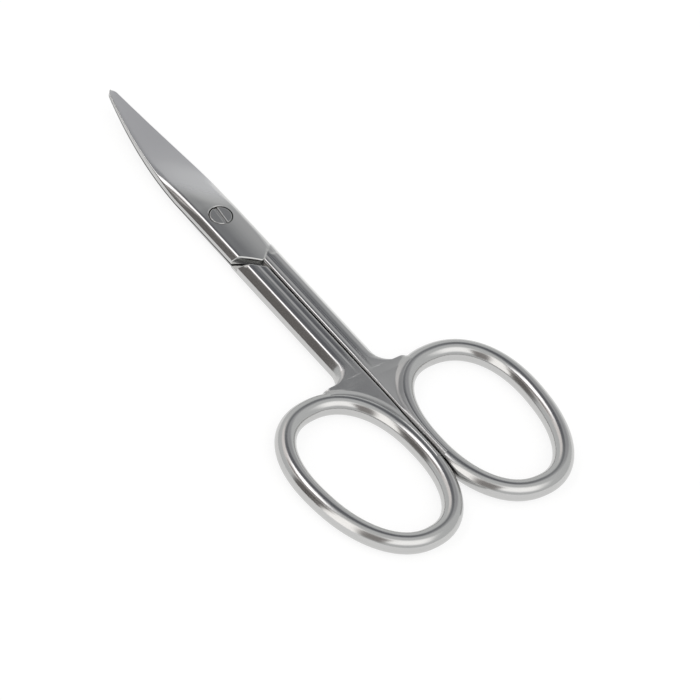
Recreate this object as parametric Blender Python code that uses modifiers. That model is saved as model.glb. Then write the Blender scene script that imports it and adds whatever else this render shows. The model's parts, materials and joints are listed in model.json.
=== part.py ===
"""Curved nail scissors: two forged steel halves that turn on one slotted screw.

Each half is one forging: a blade, a joint plate, a shank and a finger ring. The upper
half lies on top at the joint and carries its ring on the +X side. The lower half is the
same forging turned over, with its blade bent the other way, so that both blades curve up.

Frame: +Y points to the tips, +X to the ring of the upper half and +Z up. The closed
scissors lie on the plane z = 0, and the origin is the middle of their footprint.
Inside the functions x, y and height are measured from the pivot at the joint plane,
where every piece has its origin.
"""
import math

import bmesh
import bpy
import numpy as np

# Blades
BLADE_LENGTH = 0.0266
BLADE_RISE = 0.0021
BEND_START = 0.0090
BLADE_TAPER_START = 0.0050
BLADE_HALF_WIDTH = 0.00345
TIP_HALF_WIDTH = 0.0005
TIP_ROUND_LENGTH = 0.0007
TIP_THICKNESS = 0.0004
EDGE_LAND = 0.00005
HOLLOW_DEPTH = 0.0001
HOLLOW_START = 0.0060
BEVEL_START = 0.0005
BEVEL_FULL = 0.0085

# Joint plates
JOINT_HALF_WIDTH = 0.0034
PLATE_THICKNESS = 0.00145
BLANK_THICKNESS = 0.0015
PLATE_REACH = 0.0098
PLATE_SIDE_REACH = 0.0074
SHOULDER_CLEARANCE = 0.0014
MATING_GAP = 0.0002

# Shanks
SHANK_WIDTH = 0.00346
SHANK_THICKNESS = 0.0031
SHANK_ROUND = 0.0020
SHANK_RUNOUT = 0.0030
SHANK_GROOVE_DEPTH = 0.00008
HANDLE_GAP = 0.0002
SEAM_CHAMFER = 0.00025
NECK_RADIUS = 0.0030
WEB_THICKNESS = 0.0022
WEB_ROUND = 0.0013
WEB_END_THICKNESS = 0.0008
RIDGE_END_THICKNESS = 0.0020

# Finger rings
RING_REACH = 0.0347
RING_HALF_LENGTH = 0.01344
RING_HALF_WIDTH = 0.00889
RING_SEAM_OFFSET = 0.0009
RING_BAR_DIAMETER = 0.0030

# Pivot screw
SCREW_HEAD_DIAMETER = 0.0032
SCREW_HEAD_LAND = 0.0002
SCREW_HEAD_RECESS = 0.00008
SCREW_SHANK_DIAMETER = 0.0019
SCREW_SLOT_WIDTH = 0.0005
SCREW_SLOT_DEPTH = 0.00045
SCREW_RUNNING_CLEARANCE = 0.00008
SCREW_END_RECESS = 0.00005
SCREW_END_CHAMFER = 0.0002

# How far a cutter runs past what it cuts
OVERRUN = 0.0010

# Pure numbers: powers, turns and counts
BLADE_TAPER_POWER = 1.62
PLATE_CORNER_POWER = 4.0
RING_POWER = 2.24
RING_EGG_SHARE = 0.049
BEVEL_BULGE_POWER = 0.9
RIDGE_FADE_POWER = 3
RING_TILT = math.radians(-2.6)
RIDGE_FADE_TURN = math.radians(192.0)
SECTION_LEAN_SHARE = 0.1
SPINE_INSET_SHARE = 0.16
ROUND_LIMIT_SHARE = 0.6
SEAM_BEAD_SHARE = 0.25
GROOVE_SHARE = 0.61
SCREW_HEAD_TAPER = 1.0
SLOT_TURN = math.radians(-6.7)
RING_POINTS = 72
RING_BEVEL_RESOLUTION = 5
ARC_STEPS = 6
MATING_COLUMNS = 15
MATING_ROWS = 27
TURNED_STEPS = 40

# Sizes that follow from those above
RING_BAR_RADIUS = RING_BAR_DIAMETER / 2
RING_CENTRE_X = RING_SEAM_OFFSET + RING_HALF_WIDTH
RING_CENTRE_Y = -(RING_REACH + RING_HALF_LENGTH)
NECK_CENTRE_X = SHANK_WIDTH + NECK_RADIUS
RIDGE_END = RING_REACH + RING_HALF_LENGTH
SEAM = HANDLE_GAP / 2
MATE = MATING_GAP / 2


def smooth_step(value, start, end):
    """Rise from 0 at start to 1 at end with level ends."""
    share = np.clip((value - start) / (end - start), 0.0, 1.0)
    return share * share * (3.0 - 2.0 * share)


def blade_rise(x, y):
    """Height of the mating face: a bowl round the pivot axis, so the blades slide as they turn."""
    radius = np.hypot(x, y)
    share = np.clip((radius - BEND_START) / (BLADE_LENGTH - BEND_START), 0.0, None)
    return np.where(y > 0.0, BLADE_RISE * share ** 2, 0.0)


def half_width(y):
    """Half the width of the plate and blade at y, drawn in from the joint to the rounded tip."""
    share = np.clip((y - BLADE_TAPER_START) / (BLADE_LENGTH - BLADE_TAPER_START), 0.0, 1.0)
    edge = BLADE_HALF_WIDTH - (BLADE_HALF_WIDTH - TIP_HALF_WIDTH) * share ** BLADE_TAPER_POWER
    width = JOINT_HALF_WIDTH + (edge - JOINT_HALF_WIDTH) * smooth_step(y, BEVEL_START, BEVEL_FULL)
    past = np.clip((y - BLADE_LENGTH + TIP_ROUND_LENGTH) / TIP_ROUND_LENGTH, 0.0, 1.0)
    return width * np.sqrt(1.0 - past ** 2)


def blank_height(y):
    """Height of the blade's ridge over the mating face: it thins evenly from the pivot to the tip."""
    share = np.clip(y / BLADE_LENGTH, 0.0, 1.0)
    return BLANK_THICKNESS + (TIP_THICKNESS - BLANK_THICKNESS) * share


def ring_line(turn):
    """X and y of the ring's centreline at an angle round it.

    It is a superellipse, a little wider towards the neck and leaning away from the seam.
    """
    cosine, sine = np.cos(turn), np.sin(turn)
    length = np.sign(sine) * np.abs(sine) ** (2.0 / RING_POWER)
    across = np.sign(cosine) * np.abs(cosine) ** (2.0 / RING_POWER) * (1.0 + RING_EGG_SHARE * length)
    x = RING_HALF_WIDTH * across
    y = RING_HALF_LENGTH * length
    turned_x = x * math.cos(RING_TILT) - y * math.sin(RING_TILT)
    turned_y = x * math.sin(RING_TILT) + y * math.cos(RING_TILT)
    return RING_CENTRE_X + turned_x, RING_CENTRE_Y + turned_y


def rear_reach():
    """How far behind the pivot the ring's bar ends."""
    turn = np.linspace(math.pi, 2.0 * math.pi, RING_POINTS)
    return RING_BAR_RADIUS - float(ring_line(turn)[1].min())


def neck_fillet():
    """The round fillet that touches the shank's side and the outside of the ring.

    Gives how far behind the pivot its centre lies, its turn from the shank to the ring, and
    the turn of the ring's centreline where it ends. The centre stands as near the pivot as
    any point of the centreline can push it.
    """
    turn = np.linspace(math.pi / 2, math.pi, RING_POINTS)
    x, y = ring_line(turn)
    reach = NECK_RADIUS + RING_BAR_RADIUS
    across = np.clip((x - NECK_CENTRE_X) / reach, -1.0, 1.0)
    centre_y = y + reach * np.sqrt(1.0 - across ** 2)
    touching = int(np.argmax(centre_y))
    return -float(centre_y[touching]), math.acos(-across[touching]), float(turn[touching])


PIVOT = (0.0, (rear_reach() - BLADE_LENGTH) / 2, SHANK_THICKNESS / 2)
NECK_START, NECK_TURN, RING_JOIN_TURN = neck_fillet()
NECK_END_X = NECK_CENTRE_X - NECK_RADIUS * math.cos(NECK_TURN)


def plate_rear(x, setback):
    """Y of the plate's rear edge: a V with its point at the seam and soft outer ends."""
    share = np.clip((np.abs(x) - SEAM) / (JOINT_HALF_WIDTH - SEAM), 0.0, None)
    soft_share = share / (0.5 + 0.5 * share ** PLATE_CORNER_POWER) ** (1.0 / PLATE_CORNER_POWER)
    return -(PLATE_REACH - (PLATE_REACH - PLATE_SIDE_REACH) * soft_share + setback)


def link(obj, collection):
    """Put an object in one collection only."""
    for other in list(obj.users_collection):
        other.objects.unlink(obj)
    collection.objects.link(obj)
    return obj


def as_guide(obj):
    """Mark an object as a tool for cutting or joining, not a piece."""
    obj.hide_render = True
    obj.display_type = "WIRE"
    return obj


def loft(name, sections, collection):
    """Skin a row of closed sections, all with the same number of points, and cap both ends."""
    rows, points, _ = sections.shape
    mesh = bpy.data.meshes.new(name)
    work = bmesh.new()
    corners = [work.verts.new(point) for point in sections.reshape(-1, 3)]
    for row in range(rows - 1):
        for point in range(points):
            after = (point + 1) % points
            work.faces.new((
                corners[row * points + point],
                corners[row * points + after],
                corners[(row + 1) * points + after],
                corners[(row + 1) * points + point],
            ))
    work.faces.new(corners[:points][::-1])
    work.faces.new(corners[-points:])
    bmesh.ops.recalc_face_normals(work, faces=work.faces)
    work.to_mesh(mesh)
    work.free()
    obj = link(bpy.data.objects.new(name, mesh), collection)
    obj.location = PIVOT
    return obj


def boolean(target, tool, operation):
    """Cut or join with an exact Boolean that stays on the target."""
    modifier = target.modifiers.new(tool.name, "BOOLEAN")
    modifier.operation = operation
    modifier.solver = "EXACT"
    modifier.object = tool


def place(x, y, height, side, bent):
    """Points of a half; those of the lower half (side -1) are turned over about Y."""
    rise = blade_rise(x, y) if bent else np.zeros_like(x)
    return np.stack([side * x, y, side * height + rise], axis=-1)


def turned(name, profile, collection, steps):
    """Turn a profile of (radius, height) pairs, listed from the top down, about the pivot axis."""
    mesh = bpy.data.meshes.new(name)
    points = [(radius, 0.0, height) for radius, height in profile]
    mesh.from_pydata(points, [(i, i + 1) for i in range(len(points) - 1)], [])
    obj = link(bpy.data.objects.new(name, mesh), collection)
    obj.location = PIVOT
    spin = obj.modifiers.new("spin", "SCREW")
    spin.angle = 2 * math.pi
    spin.steps = steps
    spin.render_steps = steps
    spin.use_merge_vertices = True
    spin.merge_threshold = SCREW_SHANK_DIAMETER / 1000
    spin.use_smooth_shade = True
    return obj


def handle_rows():
    """Where each section of the handle ends: the height of its seam end along Y, and its outer end.

    The outer ends follow the shank's side, the neck's round fillet, and then the ring's
    centreline down to where the ridge fades out. Round the fillet the seam ends are evenly
    spaced, so that the sections fan out.
    """
    front = -PLATE_SIDE_REACH + SHANK_RUNOUT
    shoulder = -PLATE_REACH - SHOULDER_CLEARANCE
    side_y = np.concatenate([np.linspace(front, shoulder, 5), np.linspace(shoulder, -NECK_START, 7)[1:-1]])
    side_x = np.full_like(side_y, SHANK_WIDTH)
    bend = np.linspace(0.0, NECK_TURN, 10)
    neck_x = NECK_CENTRE_X - NECK_RADIUS * np.cos(bend)
    neck_y = -NECK_START - NECK_RADIUS * np.sin(bend)
    line_x, line_y = ring_line(np.linspace(RING_JOIN_TURN, RIDGE_FADE_TURN, 2 * ARC_STEPS + 1))
    outer_x = np.concatenate([side_x, neck_x, line_x])
    outer_y = np.concatenate([side_y, neck_y, line_y])
    seam_y = outer_y - SECTION_LEAN_SHARE * outer_x
    first, last = len(side_x), len(side_x) + len(bend)
    seam_y[first:last + 1] = np.linspace(seam_y[first], seam_y[last], len(bend) + 1)
    return np.stack([seam_y, outer_x, outer_y], axis=-1)


def handle_section(row):
    """One closed section as x, y and height.

    It is flat at the seam, with a shallow groove that sets off a bead beside the seam, and
    round outside. In the web it is thinner, and thinnest where the web runs out on the ring.
    """
    seam_y, outer_x, outer_y = row
    front = smooth_step(outer_y, -PLATE_SIDE_REACH, -PLATE_SIDE_REACH + SHANK_RUNOUT)
    webbed = smooth_step(-outer_y, NECK_START, RING_REACH)
    faded = smooth_step(-seam_y, RING_REACH, RIDGE_END) ** RIDGE_FADE_POWER
    spare = SHANK_THICKNESS / 2 - PLATE_THICKNESS
    top = SHANK_THICKNESS / 2 - 2.0 * spare * front
    top = top + (RIDGE_END_THICKNESS / 2 - top) * faded
    outer_x = outer_x - spare * front
    rounding = SHANK_ROUND + (WEB_ROUND - SHANK_ROUND) * webbed
    rounding = min(rounding, (outer_x - SEAM) * ROUND_LIMIT_SHARE)
    angle = np.linspace(math.pi / 2, 0.0, ARC_STEPS + 1)
    flat_start = SEAM + SEAM_CHAMFER
    flat_share = np.array([0.0, SEAM_BEAD_SHARE, GROOVE_SHARE])
    flat_x = flat_start + (outer_x - rounding - flat_start) * flat_share
    x = np.concatenate([[SEAM], flat_x, outer_x - rounding + rounding * np.cos(angle)])
    share = (x - SEAM) / (outer_x - SEAM)
    thinned = smooth_step(outer_x, SHANK_WIDTH, NECK_END_X) * share ** 2
    web_end = WEB_THICKNESS / 2 - (WEB_THICKNESS - WEB_END_THICKNESS) / 2 * thinned
    web = web_end + (top - web_end) * (1.0 - share) ** 2
    height = top + (web - top) * webbed
    height[len(flat_x)] -= SHANK_GROOVE_DEPTH * (1.0 - webbed) * (1.0 - front)
    height[-len(angle):] *= np.sin(angle)
    height[0] = top - SEAM_CHAMFER
    y = seam_y + (outer_y - seam_y) * share
    mirrored = slice(-2, None, -1)
    return (
        np.concatenate([x, x[mirrored]]),
        np.concatenate([y, y[mirrored]]),
        np.concatenate([height, -height[mirrored]]),
    )


def blade_section(y):
    """One closed (x, height) section of the plate and blade over its mating face."""
    width = float(half_width(np.array(y)))
    top = float(blank_height(np.array(y)))
    buried = smooth_step(-y, PLATE_SIDE_REACH, PLATE_SIDE_REACH + SHOULDER_CLEARANCE) * SHANK_ROUND / 2
    bevel = float(smooth_step(y, BEVEL_START, BEVEL_FULL))
    inset = BLANK_THICKNESS + (SPINE_INSET_SHARE * width - BLANK_THICKNESS) * bevel
    angle = np.linspace(0.0, math.pi / 2, ARC_STEPS + 1)
    plate_x = width - BLANK_THICKNESS + BLANK_THICKNESS * np.cos(angle)
    plate_height = MATE + EDGE_LAND + (top - MATE - EDGE_LAND) * np.sin(angle)
    along = np.linspace(0.0, 1.0, ARC_STEPS + 2)[:-1]
    bevel_x = width + (inset - 2.0 * width) * along
    bevel_height = MATE + EDGE_LAND + (top - MATE - EDGE_LAND) * along ** BEVEL_BULGE_POWER
    right_x = plate_x + (bevel_x - plate_x) * bevel
    right_height = plate_height + (bevel_height - plate_height) * bevel
    left_angle = angle + math.pi / 2
    left_x = inset - width + inset * np.cos(left_angle)
    left_height = MATE + EDGE_LAND + (top - MATE - EDGE_LAND) * np.sin(left_angle)
    x = np.concatenate([[width], right_x, left_x, [-width]])
    x = np.where(x > 0.0, x * (1.0 - buried / width), x)
    height = np.concatenate([[-OVERRUN], right_height, left_height, [-OVERRUN]])
    return x, np.full_like(x, y), height


def blade_stations():
    """Places along Y where the blade's sections stand, close at the rounded tip."""
    rear = np.linspace(-PLATE_REACH - SHOULDER_CLEARANCE, BEVEL_START, 7)
    body = np.linspace(BEVEL_START, BLADE_LENGTH - TIP_ROUND_LENGTH, 21)[1:]
    tip = BLADE_LENGTH - TIP_ROUND_LENGTH * (1.0 - np.sin(np.linspace(0.0, math.pi / 2, 6)[1:-1]))
    return np.concatenate([rear, body, tip])


def stack_sections(section, stations, side, bent):
    """Place a row of sections in the frame."""
    return np.array([place(*section(station), side, bent) for station in stations])


def ring(name, side, collection):
    """The finger ring: a round bar along a superellipse, as a closed curve turned to a mesh."""
    x, y = ring_line(np.linspace(0.0, 2.0 * math.pi, RING_POINTS, endpoint=False))
    path = place(x, y, np.zeros_like(x), side, False)
    curve = bpy.data.curves.new(name + "_path", "CURVE")
    curve.dimensions = "3D"
    curve.bevel_depth = RING_BAR_RADIUS
    curve.bevel_resolution = RING_BEVEL_RESOLUTION
    spline = curve.splines.new("POLY")
    spline.points.add(RING_POINTS - 1)
    spline.points.foreach_set("co", np.column_stack([path, np.ones(RING_POINTS)]).ravel())
    spline.use_cyclic_u = True
    wire = link(bpy.data.objects.new(name + "_path", curve), collection)
    wire.location = PIVOT
    bpy.context.view_layer.update()
    evaluated = wire.evaluated_get(bpy.context.evaluated_depsgraph_get())
    mesh = bpy.data.meshes.new_from_object(evaluated)
    work = bmesh.new()
    work.from_mesh(mesh)
    bmesh.ops.remove_doubles(work, verts=work.verts, dist=RING_BAR_RADIUS / 1000)
    bmesh.ops.recalc_face_normals(work, faces=work.faces)
    work.to_mesh(mesh)
    work.free()
    obj = link(bpy.data.objects.new(name, mesh), collection)
    obj.location = PIVOT
    bpy.data.objects.remove(wire)
    return obj


def prism(name, outline, low, high, side, collection):
    """An upright prism over a plan outline of (x, y) points, from low to high."""
    x, y = np.array(outline).T
    rows = [place(x, y, np.full_like(x, level), side, False) for level in (low, high)]
    return as_guide(loft(name, np.array(rows), collection))


def rear_line(reach):
    """The plate's V-shaped rear edge as plan points from x = -reach to x = reach."""
    side_x = np.linspace(SEAM, reach, 2 * ARC_STEPS)
    return [(x, float(plate_rear(x, 0.0))) for x in np.concatenate([-side_x[::-1], side_x])]


def seam_cutter(name, side, collection):
    """What lies past the seam plane is taken off the shank and the ring."""
    rear = -(rear_reach() + OVERRUN)
    outline = [(SEAM, OVERRUN), (SEAM, rear), (-RING_BAR_DIAMETER, rear), (-RING_BAR_DIAMETER, OVERRUN)]
    return prism(name, outline, -SHANK_THICKNESS, SHANK_THICKNESS, side, collection)


def rear_cutter(name, side, collection):
    """The plate stops at its V-shaped rear edge over the other half's shank."""
    reach = JOINT_HALF_WIDTH + OVERRUN
    far = -(PLATE_REACH + SHOULDER_CLEARANCE + OVERRUN)
    outline = rear_line(reach)[:2 * ARC_STEPS + 1] + [(SEAM, far), (-reach, far)]
    return prism(name, outline, -SHANK_THICKNESS, SHANK_THICKNESS, side, collection)


def face_cutter(name, side, collection):
    """The outer face is ground flat in front of the V, level round the screw.

    The cutter follows the V over this half's shank and overruns the plate's end beyond the seam.
    """
    reach = JOINT_HALF_WIDTH + OVERRUN
    far = -(PLATE_REACH + OVERRUN)
    outline = [(-reach, far), (0.0, far), (0.0, -PLATE_REACH)] + rear_line(reach)[2 * ARC_STEPS:]
    outline += [(reach, BEVEL_FULL), (-reach, BEVEL_FULL)]
    return prism(name, outline, PLATE_THICKNESS, SHANK_THICKNESS, side, collection)


def mating_cutter(name, side, collection):
    """The inner face: flat round the screw, then a bowl with a hollow between edge and spine."""
    reach = JOINT_HALF_WIDTH + OVERRUN
    rows = []
    for x in np.linspace(-reach, reach, MATING_COLUMNS):
        rear = float(plate_rear(x, SHOULDER_CLEARANCE))
        y = np.concatenate([[rear], np.linspace(0.0, BLADE_LENGTH + OVERRUN, MATING_ROWS)])
        width = np.maximum(half_width(y), TIP_HALF_WIDTH)
        depth = HOLLOW_DEPTH * smooth_step(y, HOLLOW_START, 2 * HOLLOW_START)
        hollow = depth * np.clip(1.0 - (x / width) ** 2, 0.0, None)
        line_x = np.full(len(y) + 2, x)
        line_y = np.concatenate([y, [y[-1], rear]])
        height = np.concatenate([MATE + hollow, [0.0, 0.0]])
        points = place(line_x, line_y, height, side, True)
        points[-2:, 2] = -side * SHANK_THICKNESS
        rows.append(points)
    return as_guide(loft(name, np.array(rows), collection))


def screw_hole(name, side, collection):
    """The upper half has a countersunk clearance hole, the lower half a plain one."""
    hole = SCREW_SHANK_DIAMETER / 2 + SCREW_RUNNING_CLEARANCE
    mouth = SCREW_HEAD_DIAMETER / 2 + SCREW_RUNNING_CLEARANCE
    top = SHANK_THICKNESS
    if side > 0:
        rim = PLATE_THICKNESS - SCREW_HEAD_RECESS - SCREW_HEAD_LAND
        base = rim - (mouth - hole) * SCREW_HEAD_TAPER
        profile = [(0.0, top), (mouth, top), (mouth, rim), (hole, base), (hole, -top), (0.0, -top)]
    else:
        profile = [(0.0, top), (hole, top), (hole, -top), (0.0, -top)]
    return as_guide(turned(name, profile, collection, TURNED_STEPS))


def steel(name, colour, roughness):
    """A Principled material for polished steel."""
    material = bpy.data.materials.new(name)
    material.use_nodes = True
    shader = material.node_tree.nodes["Principled BSDF"]
    shader.inputs["Base Color"].default_value = (*colour, 1.0)
    shader.inputs["Metallic"].default_value = 1.0
    shader.inputs["Roughness"].default_value = roughness
    return material


def build_half(name, side, parts, tools):
    """Forge one half: handle and ring joined, cut at the seam, plate and blade added, then ground."""
    half = loft(name, stack_sections(handle_section, handle_rows(), side, False), parts)
    bar = as_guide(ring(name + "_ring", side, tools))
    blade = loft(name + "_blade", stack_sections(blade_section, blade_stations(), side, True), tools)
    as_guide(blade)
    boolean(blade, rear_cutter(name + "_rear", side, tools), "DIFFERENCE")
    boolean(half, bar, "UNION")
    boolean(half, seam_cutter(name + "_seam", side, tools), "DIFFERENCE")
    boolean(half, blade, "UNION")
    boolean(half, mating_cutter(name + "_mating_face", side, tools), "DIFFERENCE")
    boolean(half, face_cutter(name + "_outer_face", side, tools), "DIFFERENCE")
    boolean(half, screw_hole(name + "_hole", side, tools), "DIFFERENCE")
    return half


def build_screw(parts, tools):
    """The pivot screw: slotted countersunk head, and a shank held in the lower half."""
    head = SCREW_HEAD_DIAMETER / 2
    shank = SCREW_SHANK_DIAMETER / 2
    top = PLATE_THICKNESS - SCREW_HEAD_RECESS
    rim = top - SCREW_HEAD_LAND
    base = rim - (head - shank) * SCREW_HEAD_TAPER
    end = -PLATE_THICKNESS + SCREW_END_RECESS
    profile = [
        (0.0, top),
        (head, top),
        (head, rim),
        (shank, base),
        (shank, end + SCREW_END_CHAMFER),
        (shank - SCREW_END_CHAMFER, end),
        (0.0, end),
    ]
    screw = turned("pivot_screw", profile, parts, TURNED_STEPS)
    bpy.ops.mesh.primitive_cube_add(size=1.0)
    slot = link(bpy.context.object, tools)
    slot.name = "screw_slot"
    slot.scale = (SCREW_SLOT_WIDTH, SCREW_HEAD_DIAMETER + OVERRUN, 2 * SCREW_SLOT_DEPTH)
    slot.location = (*PIVOT[:2], PIVOT[2] + top)
    slot.rotation_euler = (0.0, 0.0, SLOT_TURN)
    boolean(screw, as_guide(slot), "DIFFERENCE")
    return screw


def clear_scene():
    """Start from an empty scene."""
    for obj in list(bpy.data.objects):
        bpy.data.objects.remove(obj, do_unlink=True)


def new_collection(name):
    """A collection linked to the scene."""
    collection = bpy.data.collections.new(name)
    bpy.context.scene.collection.children.link(collection)
    return collection


def main():
    """Build the scissors."""
    clear_scene()
    parts = new_collection("nail_scissors")
    tools = new_collection("cutters")
    polished = steel("polished_steel", (0.60, 0.59, 0.58), 0.18)
    turned_steel = steel("screw_steel", (0.55, 0.54, 0.53), 0.28)
    for name, side in (("upper_half", 1), ("lower_half", -1)):
        build_half(name, side, parts, tools).data.materials.append(polished)
    build_screw(parts, tools).data.materials.append(turned_steel)


main()
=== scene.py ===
"""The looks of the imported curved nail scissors, laid out as a Blender add-on.

Each half is one forging: a blade, a joint plate, a shank and a finger ring. Its surfaces are
worked out here as grids of points. They stand for the CAD solids and ride on the same bodies.

Inside the functions x, y and height are metres from the pivot at the joint plane: +Y points
to the tips, +X to the ring of the upper half. The lower half is the upper half turned over
about Y, with its blade bent the other way, so that both blades curve up.
"""

import json
import math

import bmesh
import bpy
import numpy as np
from mathutils import Matrix, Vector


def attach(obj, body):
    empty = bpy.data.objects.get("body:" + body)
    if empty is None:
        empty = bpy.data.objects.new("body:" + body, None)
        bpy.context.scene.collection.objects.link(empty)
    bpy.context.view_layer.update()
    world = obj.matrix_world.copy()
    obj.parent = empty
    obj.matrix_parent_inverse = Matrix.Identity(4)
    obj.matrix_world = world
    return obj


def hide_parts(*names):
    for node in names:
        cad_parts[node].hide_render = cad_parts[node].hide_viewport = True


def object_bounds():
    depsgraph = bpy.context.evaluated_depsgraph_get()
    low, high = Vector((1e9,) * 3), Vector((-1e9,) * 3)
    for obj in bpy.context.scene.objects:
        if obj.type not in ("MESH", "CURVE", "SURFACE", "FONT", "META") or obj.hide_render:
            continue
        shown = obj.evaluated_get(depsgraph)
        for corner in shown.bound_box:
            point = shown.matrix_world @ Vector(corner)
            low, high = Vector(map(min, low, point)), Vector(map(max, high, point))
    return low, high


bl_info = {
    "name": "Nail scissors",
    "version": (1, 0, 0),
    "blender": (4, 5, 0),
    "location": "View3D > Sidebar > Scissors",
    "description": "Builds the forged halves, finger rings, pivot screw and studio of curved nail scissors",
    "category": "Object",
}

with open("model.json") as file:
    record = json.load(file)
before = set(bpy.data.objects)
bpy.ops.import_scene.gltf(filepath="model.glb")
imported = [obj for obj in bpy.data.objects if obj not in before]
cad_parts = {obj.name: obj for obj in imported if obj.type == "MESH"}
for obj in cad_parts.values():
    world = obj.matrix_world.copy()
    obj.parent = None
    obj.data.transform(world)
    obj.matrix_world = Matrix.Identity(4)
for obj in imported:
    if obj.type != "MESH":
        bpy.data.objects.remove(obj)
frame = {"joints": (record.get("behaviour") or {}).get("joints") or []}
CAD_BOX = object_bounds()
PIVOT = np.array(frame["joints"][0]["pos_m"])
MM = 0.001

# Blades
BLADE_LENGTH = CAD_BOX[1][1] - PIVOT[1]
BLADE_RISE = 2.1 * MM
BEND_START = 9.0 * MM
BLADE_TAPER_START = 5.0 * MM
BLADE_TAPER_POWER = 1.62
TIP_HALF_WIDTH = 0.5 * MM
TIP_ROUND_LENGTH = 0.7 * MM
TIP_TURN_START = math.pi / 2 - 0.02
TIP_THICKNESS = 0.4 * MM
EDGE_LAND = 0.05 * MM
HOLLOW_DEPTH = 0.1 * MM
HOLLOW_START = 6.0 * MM
WIDTH_BLEND_START = 0.5 * MM
WIDTH_BLEND_END = 8.5 * MM
BLANK_HEIGHT = 1.5 * MM
RIDGE_X = 2.6 * MM
RIDGE_SHARE = 0.9
GRIND_START = 2.6 * MM
GRIND_FULL = 13.0 * MM
GRIND_LEAN_SHARE = 0.8
GRIND_CROWN = 0.05 * MM

# Joint plates
PLATE_ROUND = 1.2 * MM
PLATE_TOP_RADIUS = 1.1 * MM
PLATE_FACET_FOOT = 0.64 * MM
PLATE_CROWN_X = -1.2 * MM
PLATE_CROWN_RADIUS = 30.0 * MM
PLATE_REACH = 9.8 * MM
PLATE_SIDE_REACH = 7.4 * MM
PLATE_CORNER_POWER = 4.0
PLATE_EDGE_ROUND = 0.36 * MM
SHOULDER_CLEARANCE = 1.4 * MM
STEP_RUN = 0.3 * MM
# Height of each mating face above the joint plane, half the gap between the halves
MATE = 0.1 * MM

# Shanks and necks; the seam is half the gap between the shanks
SEAM = 0.1 * MM
SHANK_ROUND = 2.0 * MM
SHANK_TOP_RADIUS = 2.58 * MM
SHANK_FACET_FOOT = 0.52 * MM
SHANK_BLEND_START = 4.5 * MM
SHANK_BLEND_END = 9.5 * MM
FACET_SLOPE = 1.1
FACET_RADIUS = 5.6 * MM
FACET_SOFT = 0.08 * MM
SIDE_CORNER = 0.15 * MM
BEAD_MIDDLE = 0.62 * MM
BEAD_DROP = 0.01 * MM
GROOVE_MIDDLE = 1.05 * MM
GROOVE_DEPTH = 0.055 * MM
GROOVE_END = 1.42 * MM
FAN_SHARE = 0.12
WEB_HALF_THICKNESS = 1.3 * MM
WEB_END_HALF_THICKNESS = 1.0 * MM
WEB_ROUND = 1.3 * MM
ROUND_LIMIT_SHARE = 0.5
NEAR_SHARE = 0.4
RIDGE_END_HEIGHT = 1.0 * MM
RIDGE_FADE_POWER = 3.0
WEB_CREASE = 0.8 * MM
# How far a face is set behind another whose plane it would share
BURIED = 0.02 * MM
LEAST_CREASE = BURIED / 100
LEAST_ROUND = SEAM / 1000
MERGE = SEAM / 200

# Marks and finish of the steel
LINE_SCALE = 9000.0
LINE_STRETCH = 0.03
LINE_DETAIL = 3.0
LINE_ROUGHNESS = 0.08
LINE_BUMP = 0.12
LINE_DEPTH = 0.02 * MM
SMEAR_SCALE = 260.0
SMEAR_DETAIL = 4.0
SMEAR_ROUGHNESS = 0.05
SMEAR_COLOUR_SHARE = 0.94
GROUND_FACING = (0.15, 0.0, 1.0)
GROUND_FACING_START = 0.93
GROUND_FACING_FULL = 0.98
SATIN_START = 3.0 * MM
SATIN_FULL = 7.0 * MM
WEB_SATIN_START = 28.5 * MM
WEB_SATIN_FULL = 33.0 * MM

# Finger rings
RING_REACH = 34.7 * MM
RING_HALF_LENGTH = 13.44 * MM
RING_HALF_WIDTH = 8.89 * MM
RING_SEAM_OFFSET = 0.9 * MM
RING_POWER = 2.24
RING_EGG_SHARE = 0.049
RING_TILT = math.radians(-2.6)
RIDGE_FADE_TURN = math.radians(192.0)
RING_SEAM_ROUND = 0.2 * MM
LEAST_TOWARDS_SEAM = 1e-4
CLEAR_OF_SEAM_SHARE = 10.0

# Pivot screw
HEAD_RADIUS = 1.6 * MM
HEAD_LAND = 0.2 * MM
HEAD_RECESS = 0.12 * MM
HEAD_EDGE = 0.15 * MM
SINK_EDGE = 0.13 * MM
CLEARANCE = 0.13 * MM
SCREW_SHANK_RADIUS = 0.95 * MM
SLOT_DEPTH = 0.3 * MM
SLOT_EDGE = 0.09 * MM
SLOT_TURN = math.radians(-6.7)
SCREW_END_RECESS = 0.05 * MM
SCREW_END_CHAMFER = 0.2 * MM

# Studio
CAMERA_DISTANCE = 1092.23 * MM
CAMERA_LENS = 411.43
CAMERA_AZIMUTH = math.radians(-44.648)
CAMERA_ELEVATION = math.radians(46.429)
CAMERA_ROLL = math.radians(10.947)
AIM_FROM_PIVOT = np.array([1.4127, -28.5147, 0.0]) * MM
CAMERA_CLIP_END = 10.0

WHITE = (1.0, 1.0, 1.0, 1.0)
FLOOR_REACH = 2.0
FLOOR_COLOUR = (0.3, 0.3, 0.3, 1.0)
FLOOR_GLOW = 0.77
PANEL_LEAST_DEPTH = 0.05
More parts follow.
